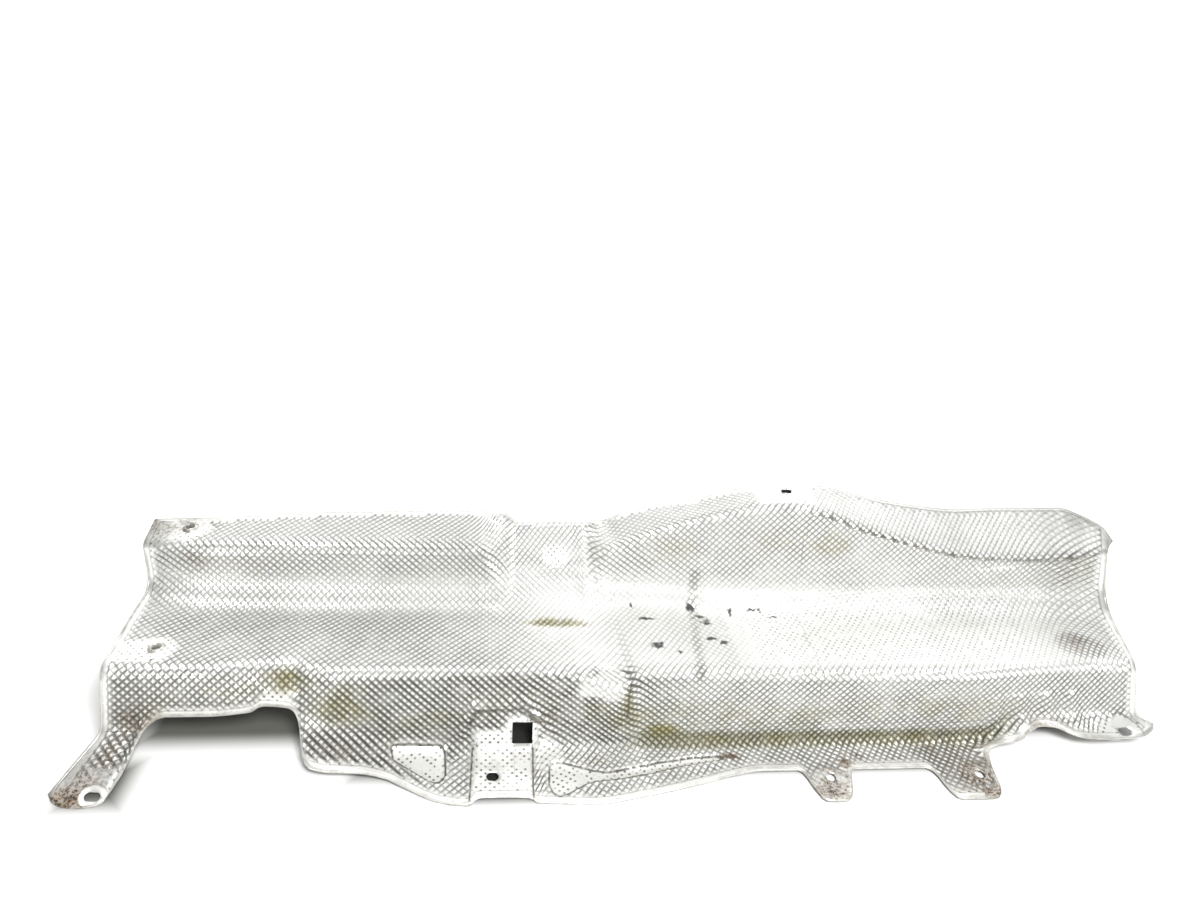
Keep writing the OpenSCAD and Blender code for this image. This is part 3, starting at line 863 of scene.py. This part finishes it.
class Nodes:
    """Short calls for a shader's nodes."""

    def __init__(self, nt):
        self.nt = nt

    def new(self, kind, **props):
        n = self.nt.nodes.new(kind)
        for a, b in props.items():
            setattr(n, a, b)
        return n

    def link(self, a, b):
        self.nt.links.new(a, b)

    def math(self, op, a, b=None, clamp=False):
        n = self.new("ShaderNodeMath", operation=op, use_clamp=clamp)
        for k, x in enumerate((a, b)):
            if x is None:
                continue
            if isinstance(x, (int, float)):
                n.inputs[k].default_value = x
            else:
                self.link(x, n.inputs[k])
        return n.outputs[0]

    def plus(self, a, b, clamp=False):
        return self.math("ADD", a, b, clamp)

    def minus(self, a, b, clamp=False):
        return self.math("SUBTRACT", a, b, clamp)

    def times(self, a, b, clamp=False):
        return self.math("MULTIPLY", a, b, clamp)

    def most(self, a, b):
        return self.math("MAXIMUM", a, b)

    def least(self, a, b):
        return self.math("MINIMUM", a, b)

    def off(self, a, b):
        """How far one value is from another."""
        return self.math("ABSOLUTE", self.minus(a, b))

    def value(self, label):
        """A value kept on the points."""
        return self.new("ShaderNodeAttribute", attribute_name=label).outputs["Fac"]

    def gap(self, label):
        """A gap kept on the points, in mm."""
        return self.times(self.value(label), 1 / CM)

    def place(self):
        return self.new("ShaderNodeTexCoord").outputs["Object"]

    def ramp(self, x, a, b, lo=0.0, hi=1.0, smooth=True):
        n = self.new("ShaderNodeMapRange", interpolation_type="SMOOTHSTEP" if smooth else "LINEAR")
        self.link(x, n.inputs["Value"])
        for k, t in (("From Min", a), ("From Max", b), ("To Min", lo), ("To Max", hi)):
            n.inputs[k].default_value = t
        return n.outputs["Result"]

    def noise(self, vec, scale, detail=3.0, rough=0.55):
        n = self.new("ShaderNodeTexNoise")
        self.link(vec, n.inputs["Vector"])
        n.inputs["Scale"].default_value = scale
        n.inputs["Detail"].default_value = detail
        n.inputs["Roughness"].default_value = rough
        return n.outputs["Fac"]

    def mix(self, fac, a, b):
        n = self.new("ShaderNodeMix", data_type="RGBA", blend_type="MIX")
        self.link(fac, n.inputs[0])
        for k, x in ((6, a), (7, b)):
            if isinstance(x, tuple):
                n.inputs[k].default_value = (*x, 1)
            else:
                self.link(x, n.inputs[k])
        return n.outputs[2]

    def spot(self, pos, centre, radii, soft):
        """1 at a place on the sheet, easing to 0 at an ellipsoid's edge."""
        sub = self.new("ShaderNodeVectorMath", operation="SUBTRACT")
        self.link(pos, sub.inputs[0])
        sub.inputs[1].default_value = tuple((np.array(centre) - MIDDLE) * MM)
        div = self.new("ShaderNodeVectorMath", operation="DIVIDE")
        self.link(sub.outputs[0], div.inputs[0])
        div.inputs[1].default_value = tuple(np.array(radii) * MM)
        reach = self.new("ShaderNodeVectorMath", operation="LENGTH")
        self.link(div.outputs[0], reach.inputs[0])
        return self.ramp(reach.outputs["Value"], 1.0, 1.0 - soft)


def new_material(name):
    m = bpy.data.materials.new(name)
    m.use_nodes = True
    return m, m.node_tree.nodes["Principled BSDF"], Nodes(m.node_tree)


def worn_base(n, pos, pale, dim):
    """Bare metal with soft clouds and fine grit, and the grit itself."""
    cloud = n.noise(pos, 9, 4)
    grit = n.noise(pos, 420, 3, 0.6)
    base = n.mix(n.ramp(cloud, 0.35, 0.7), pale, dim)
    return n.mix(n.times(n.ramp(grit, 0.55, 0.75), 0.3), base, (0.50, 0.50, 0.48)), grit


def stain_masks(n, pos):
    """Olive, rust and haze, each broken up by a noise of its own grain."""
    return [n.times(n.value(label), n.ramp(n.noise(pos, grain, 5, 0.65), 0.3, 0.6))
            for label, grain in (("olive", 38), ("rust", 85), ("haze_and_shade", 50))]


def emboss_lines(n):
    """How far each point is from the middle of the grooves of either direction, 0 to 0.5."""
    sheet_uv = n.new("ShaderNodeUVMap", uv_map="sheet")
    split = n.new("ShaderNodeSeparateXYZ")
    n.link(sheet_uv.outputs["UV"], split.inputs[0])
    u, v = split.outputs[0], split.outputs[1]
    per_diamond = 1 / (2 * PITCH * UV_SCALE)
    lines = []
    for across in (n.plus(u, v), n.minus(u, v)):
        part = n.math("FRACT", n.plus(n.times(across, per_diamond), 1000.0))
        lines.append(n.off(part, 0.5))
    return lines


def groove_dirt_and_shade_mask(n, lines, dirt_and_shade, fine):
    """Dirt and painted shade in the grooves, heavier in the direction that the slant gives."""
    lean = n.times(n.value("shade_slant"), 0.5)
    marks = []
    for line, share in zip(lines, (n.plus(0.5, lean), n.minus(0.5, lean))):
        width = n.times(share, n.plus(n.times(dirt_and_shade, 0.26), 0.05))
        mark = n.ramp(n.minus(line, width), 0.15, 0.0)
        marks.append(n.times(mark, n.ramp(share, 0.2, 0.7, 0.5, 1.0, smooth=False)))
    groove = n.times(n.most(marks[0], marks[1]), n.ramp(fine, 0.25, 0.6, 0.7, 1.0))
    kept = n.minus(1.0, n.value("flat"), clamp=True)
    return n.times(groove, n.times(kept, n.ramp(dirt_and_shade, 0.1, 0.6, 0.35, 1.0, smooth=False)))


def pit_mask(n, pos, knot, haze_and_shade, seat):
    """What is left of the pits where the sheet was pressed flat."""
    pits = n.times(n.ramp(knot, 0.25, 0.14), n.ramp(n.noise(pos, 95, 3, 0.6), 0.38, 0.54))
    pits = n.times(pits, n.times(n.ramp(n.value("flat"), 0.3, 0.8), n.ramp(n.gap("edge"), 6.0, 9.0)))
    return n.times(pits, n.minus(1.0, n.most(seat, n.times(haze_and_shade, 0.8)), clamp=True))


def crease_shade_mask(n, pos, knot, washer):
    """Painted shade along the pocket outlines, the line under the arch, the hem's inner edge, the crest
    and washer rings.
    """
    broken = n.ramp(n.noise(pos, 130, 4, 0.7), 0.3, 0.55, 0.35, 1.0)
    rim = n.ramp(n.off(n.gap("rim"), 0.5), 1.5, 0.5)
    arc = n.ramp(n.off(n.gap("arch"), 0.0), 2.8, 1.2)
    ring = n.times(n.ramp(n.off(washer, WASHER_R), 0.8, 0.2), 0.6)
    fold = n.times(n.ramp(n.off(n.gap("edge"), FOLD_AT), 1.1, 0.3), 0.45)
    below_crest = n.plus(n.plus(n.gap("crest"), 0.4), n.times(knot, 9.0))
    top = n.times(n.ramp(n.off(below_crest, 0.0), 3.4, 1.4),
                  n.ramp(n.noise(pos, 24, 3, 0.6), 0.35, 0.6, 0.45, 1.0))
    folds = n.most(n.most(n.most(rim, arc), fold), top)
    return n.times(n.most(folds, ring), broken)


def scuff_mask(n, pos):
    """Ragged black scuffs, most of them on the trough floor."""
    shaken = n.new("ShaderNodeVectorMath", operation="MULTIPLY_ADD")
    patchy = n.new("ShaderNodeTexNoise")
    n.link(pos, patchy.inputs["Vector"])
    patchy.inputs["Scale"].default_value = 110
    n.link(patchy.outputs["Color"], shaken.inputs[0])
    shaken.inputs[1].default_value = (2 * SHAKE * MM, 2 * SHAKE * MM, 2 * SHAKE * MM)
    n.link(pos, shaken.inputs[2])
    dark = None
    for centre, reach in SCUFF:
        spot = n.spot(shaken.outputs[0], np.array(centre) + SHAKE, np.array(reach) * 0.85, 0.5)
        dark = spot if dark is None else n.most(dark, spot)
    return n.times(dark, n.ramp(n.noise(pos, 260, 4, 0.7), 0.36, 0.46))


WASHER_R = 7.8       # outer line of a washer's seat, from the hole's edge
FOLD_AT = 7.6        # inner line of the hem, from the sheet's edge
SHAKE = 7            # how far the scuffs' outlines wander
# colour of the dark dots left at the pits
PIT_DOT_COLOUR = (0.09, 0.085, 0.07)


def sheet_material(name, embossed=True, pale=(0.88, 0.88, 0.86), dim=(0.78, 0.78, 0.76)):
    m, b, n = new_material(name)
    pos = n.place()
    fine = n.noise(pos, 60, 4, 0.6)
    base, grit = worn_base(n, pos, pale, dim)
    olive, rust, haze_and_shade = stain_masks(n, pos)
    groove_grime_and_shade = n.most(n.value("grime_and_shade"), n.value("foot")) if embossed else n.value("grime_and_shade")
    dirt_and_shade = n.times(groove_grime_and_shade, n.ramp(n.noise(pos, 22, 4, 0.6), 0.25, 0.6, 0.75, 1.0))
    base = n.mix(n.times(haze_and_shade, 0.8, clamp=True), base, (0.44, 0.43, 0.39))
    base = n.mix(n.times(olive, 0.75, clamp=True), base, (0.31, 0.28, 0.10))
    base = n.mix(n.times(rust, 0.75, clamp=True), base, (0.27, 0.175, 0.105))
    height = n.times(grit, 0.08)
    worn = n.most(olive, rust)
    specks = n.times(n.ramp(n.noise(pos, 330, 4, 0.8), 0.50, 0.535),
                     n.plus(rust, n.times(haze_and_shade, 0.6), clamp=True))
    if embossed:
        lines = emboss_lines(n)
        knot = n.most(lines[0], lines[1])
        groove = groove_dirt_and_shade_mask(n, lines, dirt_and_shade, fine)
        shade = n.mix(n.most(worn, n.ramp(dirt_and_shade, 0.5, 1.0)), (0.11, 0.11, 0.10), (0.04, 0.038, 0.02))
        base = n.mix(n.times(n.math("POWER", dirt_and_shade, 2.0), 0.12), base, (0.45, 0.44, 0.40))
        base = n.mix(n.times(n.value("foot"), 0.5), base, (0.31, 0.30, 0.17))
        # painted shade and dirt darken the grooves
        base = n.mix(n.times(groove, 0.97), base, shade)
        washer = n.gap("washer")
        seat = n.ramp(washer, WASHER_R, 4.5)
        base = n.mix(n.times(pit_mask(n, pos, knot, haze_and_shade, seat), 0.9), base, PIT_DOT_COLOUR)
        crease_shade = crease_shade_mask(n, pos, knot, washer)
        # painted shade in the creases and along the outlines
        base = n.mix(n.times(crease_shade, 0.92), base, (0.09, 0.085, 0.065))
        hem_dirt = n.times(n.ramp(n.gap("edge"), 6.5, 3.0),
                           n.ramp(n.noise(pos, 70, 5, 0.7), 0.38, 0.62))
        base = n.mix(n.times(hem_dirt, 0.55), base, (0.36, 0.34, 0.28))
        height = n.minus(height, n.times(crease_shade, 0.4))
        base = n.mix(n.times(seat, 0.85), base, (0.84, 0.84, 0.82))
        specks = n.times(specks, n.minus(1.0, seat, clamp=True))
    base = n.mix(n.times(specks, 0.95), base, (0.05, 0.035, 0.02))
    dark = scuff_mask(n, pos)
    base = n.mix(n.times(dark, 0.96), base, (0.03, 0.03, 0.03))
    # painted shade: the underside of the sheet is coloured darker than the top
    if embossed:
        base = n.mix(n.times(n.value("under"), 0.5), base, (0.40, 0.40, 0.39))
    n.link(base, b.inputs["Base Color"])
    dull = n.most(n.times(worn, 0.6), dark)
    n.link(n.minus(0.55, n.times(dull, 0.45), clamp=True), b.inputs["Metallic"])
    n.link(n.plus(n.ramp(fine, 0.3, 0.7, 0.30, 0.42), n.times(dull, 0.35), clamp=True),
           b.inputs["Roughness"])
    bump = n.new("ShaderNodeBump")
    bump.inputs["Strength"].default_value = 0.5
    bump.inputs["Distance"].default_value = MM
    n.link(height, bump.inputs["Height"])
    n.link(bump.outputs["Normal"], b.inputs["Normal"])
    return m


# near-black rough finish for the wall that stands as painted shadow in the slot
def slot_shadow_material(name):
    m, b, n = new_material(name)
    pos = n.place()
    n.link(n.mix(n.ramp(n.noise(pos, 300), 0.4, 0.7), (0.012, 0.012, 0.012), (0.035, 0.032, 0.028)),
           b.inputs["Base Color"])
    n.link(n.ramp(n.noise(pos, 200), 0.3, 0.7, 0.7, 0.9), b.inputs["Roughness"])
    b.inputs["Specular IOR Level"].default_value = 0.1
    return m


embossed = sheet_material("embossed aluminium")
rolled = sheet_material("rolled aluminium edge", embossed=False, pale=(0.66, 0.65, 0.61),
                        dim=(0.50, 0.49, 0.45))


# Emboss: push each point along the sheet's own normal by its relief
def emboss_tree():
    tr = Tree("emboss", [("Depth", "NodeSocketFloat", 0.0005), ("Finish", "NodeSocketMaterial", None)])
    rel = tr.named("relief", "FLOAT")
    lift = tr.named("lift", "FLOAT_VECTOR")
    rise = tr.add("ShaderNodeMath", operation="MULTIPLY")
    tr.link(rel, rise.inputs[0])
    tr.link(tr.gin.outputs["Depth"], rise.inputs[1])
    move = tr.add("ShaderNodeVectorMath", operation="SCALE")
    tr.link(lift, move.inputs[0])
    tr.link(rise.outputs[0], move.inputs["Scale"])
    setp = tr.add("GeometryNodeSetPosition")
    tr.link(tr.gin.outputs["Geometry"], setp.inputs["Geometry"])
    tr.link(move.outputs[0], setp.inputs["Offset"])
    tr.finish(setp.outputs[0])
    return tr


emboss_tree().apply(shield, {"Depth": DEPTH * MM, "Finish": embossed})
shield.data.name = "shield_sheet"
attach(shield, "root")
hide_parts("heat_shield")

# Rolled edge along the rim
EDGE_R = 1.15
INWARD = 1.25        # how far the roll's middle lies inside the sheet's edge
ROLL_STEP = 3.5
ROLL_SIDES = 8
ROLL_SMOOTH = 3      # passes that round the loop's corners


def set_in(near, far):
    """A rim point moved inwards by a little over the roll's radius."""
    a, b = np.array(grid.place[near[2]]), np.array(grid.place[far[2]])
    return a + (b - a) * INWARD / max(np.linalg.norm(b - a), 1e-6)


def end_point(end, inner, k):
    return set_in(end[k], inner[min(k, len(inner) - 1)])


def rim_loop():
    """The sheet's edge all the way round, evenly spaced and smoothed."""
    first, last = columns[0], columns[-1]
    run = [set_in(c[0], c[1]) for c in columns[1:-1]]
    run += [end_point(last, columns[-2], k) for k in range(1, len(last) - 1)]
    run += [set_in(c[-1], c[-2]) for c in columns[::-1][1:-1]]
    run += [end_point(first, columns[1], k) for k in range(len(first) - 2, 0, -1)]
    run = np.array(run + run[:1])
    arc = np.concatenate([[0], np.cumsum(np.linalg.norm(np.diff(run, axis=0), axis=1))])
    at_arc = np.linspace(0, arc[-1], int(arc[-1] / ROLL_STEP), endpoint=False)
    even = np.stack([np.interp(at_arc, arc, run[:, k]) for k in range(3)], 1)
    for _ in range(ROLL_SMOOTH):
        even = 0.5 * even + 0.25 * (np.roll(even, 1, axis=0) + np.roll(even, -1, axis=0))
    even[:, 2] = np.maximum(even[:, 2], EDGE_R + 0.1)
    return even


def roll_tree():
    tr = Tree("rolled rim", [("Radius", "NodeSocketFloat", 0.001), ("Sides", "NodeSocketInt", 8),
                             ("Finish", "NodeSocketMaterial", None)])
    curve = tr.add("GeometryNodeMeshToCurve")
    tr.link(tr.gin.outputs["Geometry"], curve.inputs["Mesh"])
    circle = tr.add("GeometryNodeCurvePrimitiveCircle")
    tr.link(tr.gin.outputs["Sides"], circle.inputs["Resolution"])
    tr.link(tr.gin.outputs["Radius"], circle.inputs["Radius"])
    tube = tr.add("GeometryNodeCurveToMesh")
    tr.link(curve.outputs[0], tube.inputs["Curve"])
    tr.link(circle.outputs[0], tube.inputs["Profile Curve"])
    tr.finish(tube.outputs[0])
    return tr


def stain_piece(ob):
    ob.data.shade_smooth()
    add_stains(ob.data, np.array([q.co for q in ob.data.vertices]) / MM + MIDDLE)


loop = rim_loop()
path = bpy.data.meshes.new("rim_path")
path.from_pydata(((loop - MIDDLE) * MM).tolist(), [(k, (k + 1) % len(loop)) for k in range(len(loop))], [])
rim_ob = link_object("rolled_rim", path)
roll_tree().apply(rim_ob, {"Radius": EDGE_R * MM, "Sides": ROLL_SIDES, "Finish": rolled})
stain_piece(rim_ob)
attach(rim_ob, "root")

# Pressed collars round two holes: radius and height of the profile's points
COLLAR = [(4.3, -3.5), (4.5, 1.5), (5.2, 2.5), (6.2, 2.1), (7.0, 1.0), (8.6, 0.42), (8.6, 0.1),
          (5, -0.5), (4.8, -3.5)]


def lathe(profile, n=32):
    v, f = [], []
    m = len(profile)
    for a in range(n):
        t = 2 * math.pi * a / n
        v += [(r * math.cos(t), r * math.sin(t), z) for r, z in profile]
    for a in range(n):
        b = (a + 1) % n
        f += [(a * m + k, b * m + k, b * m + (k + 1) % m, a * m + (k + 1) % m) for k in range(m)]
    return v, f


def collar_tree():
    tr = Tree("collars", [("Collar", "NodeSocketObject", None), ("Size", "NodeSocketFloat", 1.0),
                          ("Finish", "NodeSocketMaterial", None)])
    info = tr.add("GeometryNodeObjectInfo", transform_space="ORIGINAL")
    tr.link(tr.gin.outputs["Collar"], info.inputs["Object"])
    pts = tr.add("GeometryNodeMeshToPoints")
    tr.link(tr.gin.outputs["Geometry"], pts.inputs["Mesh"])
    rot = tr.add("FunctionNodeAlignRotationToVector", axis="Z")
    tr.link(tr.named("facing", "FLOAT_VECTOR"), rot.inputs["Vector"])
    inst = tr.add("GeometryNodeInstanceOnPoints")
    tr.link(pts.outputs[0], inst.inputs["Points"])
    tr.link(info.outputs["Geometry"], inst.inputs["Instance"])
    tr.link(rot.outputs[0], inst.inputs["Rotation"])
    tr.link(tr.gin.outputs["Size"], inst.inputs["Scale"])
    tr.finish(inst.outputs[0])
    return tr


collar = mesh_of("collar_pattern", *lathe(COLLAR))
places = [(c, up) for c, up, _ in hole_rings if c[0] < -480 and c[1] > -60]
seats = bpy.data.meshes.new("collar_seats")
seats.from_pydata([tuple((c - MIDDLE) * MM) for c, _ in places], [], [])
add_vector(seats, "facing", np.array([up for _, up in places]))
collars = link_object("hole_collars", seats)
collar_tree().apply(collars, {"Collar": collar, "Size": 1.0, "Finish": rolled})
stain_piece(collars)
bpy.data.objects.remove(collar)
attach(collars, "root")

# Turned-down lip inside the slot of the top pad, near black as painted shadow in the slot
LIP_TOP, LIP_DEEP, LIP_WALL = 0.1, 4.6, 0.6


def lip_shell(centre, up, ring):
    """A closed wall that hangs from a hole's ring: inner and outer rings, top and bottom."""
    out = ring - centre
    out = out / np.linalg.norm(out, axis=1)[:, None] * LIP_WALL
    v = np.concatenate([ring - LIP_TOP * up, ring - LIP_DEEP * up,
                        ring + out - LIP_TOP * up, ring + out - LIP_DEEP * up])
    n = len(ring)
    f = []
    for a in range(n):
        b = (a + 1) % n
        f += [(a, b, n + b, n + a), (2 * n + a, 3 * n + a, 3 * n + b, 2 * n + b),
              (n + a, n + b, 3 * n + b, 3 * n + a), (a, 2 * n + a, 2 * n + b, b)]
    return v - MIDDLE, f


top_slot = next(h for h in hole_rings if h[0][1] > 80 and h[0][0] > 0)
slot_lip = mesh_of("slot_lip", *lip_shell(*top_slot), smooth=False)
slot_lip.data.materials.append(slot_shadow_material("slot wall painted as shadow"))
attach(slot_lip, "root")

# Floor and backdrop
# Floor patches painted dark as shadow under the part: middle and half size each way, m
TROUGH_SHADOW_PATCH = (0.015, 0.035, 0.545, 0.088)
FLANGE_SHADOW_PATCH = (0.02, -0.02, 0.33, 0.083)
TAB_SHADOW_PATCH = (-0.54, -0.10, 0.03, 0.03)
PAD_SHADOW_PATCH = (-0.15, -0.075, 0.058, 0.055)
ROUND_PART = (0, 0, 0.6, 0.15)
HALF_WIDE, FAR_WALL, SWEEP_R, WALL_HIGH = 9.0, 2.6, 0.5, 6.0


def beyond(n, place, box):
    """How far outside a box on the floor, below 0 inside it."""
    cx, cy, rx, ry = box
    return n.most(n.minus(n.off(place.outputs[0], cx), rx), n.minus(n.off(place.outputs[1], cy), ry))


def floor_material(name):
    m, b, n = new_material(name)
    m.node_tree.nodes.remove(b)
    place = n.new("ShaderNodeSeparateXYZ")
    n.link(n.place(), place.inputs[0])
    # painted shadow: the floor is dark grey in the patches under the part, near black under the window and
    # the front slot
    trough, flange, tab_gap, pad = [beyond(n, place, box)
                                    for box in (TROUGH_SHADOW_PATCH, FLANGE_SHADOW_PATCH, TAB_SHADOW_PATCH, PAD_SHADOW_PATCH)]
    below = n.ramp(n.least(n.least(trough, flange), n.least(tab_gap, pad)), 0.01, -0.02)
    shaded = n.mix(below, (0.80, 0.80, 0.79), (0.11, 0.11, 0.10))
    matte = n.new("ShaderNodeBsdfDiffuse")
    n.link(n.mix(n.ramp(pad, 0.01, -0.02), shaded, (0.025, 0.025, 0.024)), matte.inputs["Color"])
    # the floor shows white to the camera and in gloss, but keeps the shadow near the part
    around = beyond(n, place, ROUND_PART)
    level = n.times(n.ramp(around, -0.01, 0.08), n.ramp(around, 0.1, 0.9, 0.62, 0.95))
    ray = n.new("ShaderNodeLightPath")
    glow = n.new("ShaderNodeEmission")
    n.link(n.times(n.most(ray.outputs["Is Camera Ray"], ray.outputs["Is Glossy Ray"]), level),
           glow.inputs["Strength"])
    total = n.new("ShaderNodeAddShader")
    n.link(matte.outputs[0], total.inputs[0])
    n.link(glow.outputs[0], total.inputs[1])
    n.link(total.outputs[0], m.node_tree.nodes["Material Output"].inputs[0])
    return m


def floor_mesh(name):
    """Flat floor that sweeps up into a far wall."""
    profile = [(-HALF_WIDE, 0.0), (FAR_WALL - SWEEP_R, 0.0)]
    profile += [(FAR_WALL - SWEEP_R + SWEEP_R * math.sin(t), SWEEP_R - SWEEP_R * math.cos(t))
                for t in np.linspace(0.15, math.pi / 2, 10)]
    profile += [(FAR_WALL, WALL_HIGH)]
    me = bpy.data.meshes.new(name)
    me.from_pydata([(x, y, z) for y, z in profile for x in (-HALF_WIDE, HALF_WIDE)], [],
                   [(2 * k, 2 * k + 1, 2 * k + 3, 2 * k + 2) for k in range(len(profile) - 1)])
    me.shade_smooth()
    me.materials.append(floor_material("pale backdrop"))
    return me


floor = link_object("floor and backdrop", floor_mesh("floor and backdrop"))
floor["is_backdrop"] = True

# World: full white to the camera, dim to the part
WORLD_LIGHT = 0.16
world = bpy.data.worlds.new("studio")
bpy.context.scene.world = world
world.use_nodes = True
sky = Nodes(world.node_tree)
seen = sky.new("ShaderNodeLightPath").outputs["Is Camera Ray"]
background = world.node_tree.nodes["Background"]
background.inputs["Color"].default_value = (1, 1, 1, 1)
sky.link(sky.plus(sky.times(seen, 1 - WORLD_LIGHT), WORLD_LIGHT), background.inputs["Strength"])

# Softboxes: name, place, aim, width, depth, power in W
LAMPS = [("overhead softbox", (0.0, -0.29, 2.3), (0, -0.29, 0), 3.2, 1.42, 11),
         ("back softbox", (0.0, 1.4, 1.5), (0, 0, 0.1), 3.0, 1.2, 22),
         ("key softbox", (0.12, -1.0, 1.25), (0, 0, 0.05), 0.45, 0.35, 36)]
for name, place, aim, wide, deep, power in LAMPS:
    light = bpy.data.lights.new(name, "AREA")
    light.shape = "RECTANGLE"
    light.size, light.size_y = wide, deep
    light.energy = power
    lamp = link_object(name, light)
    lamp.location = place
    lamp.rotation_mode = "QUATERNION"
    lamp.rotation_quaternion = (Vector(aim) - Vector(place)).to_track_quat("-Z", "Y")

# Camera
PHOTO_WIDE, FOCAL_PX, SENSOR = 1200, 817.5, 36
CAMERA_AT = np.array([-165.0, -702.0, 665.0])
cam = bpy.data.cameras.new("camera")
cam.sensor_width = SENSOR
cam.lens = FOCAL_PX * SENSOR / PHOTO_WIDE
cam.clip_start = 0.01
cam_ob = link_object("camera", cam)
right = Vector((0.99287, -0.0919, 0.07591)).normalized()
ahead = Vector((0.11603, 0.89101, -0.4389)).normalized()
up = right.cross(ahead).normalized()
right = ahead.cross(up)
stand = Matrix((right, up, -ahead)).transposed().to_4x4()
stand.translation = Vector((CAMERA_AT - MIDDLE) * MM)
cam_ob.matrix_world = stand
bpy.context.scene.camera = cam_ob
bpy.context.scene.view_settings.view_transform = "Standard"

lo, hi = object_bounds()
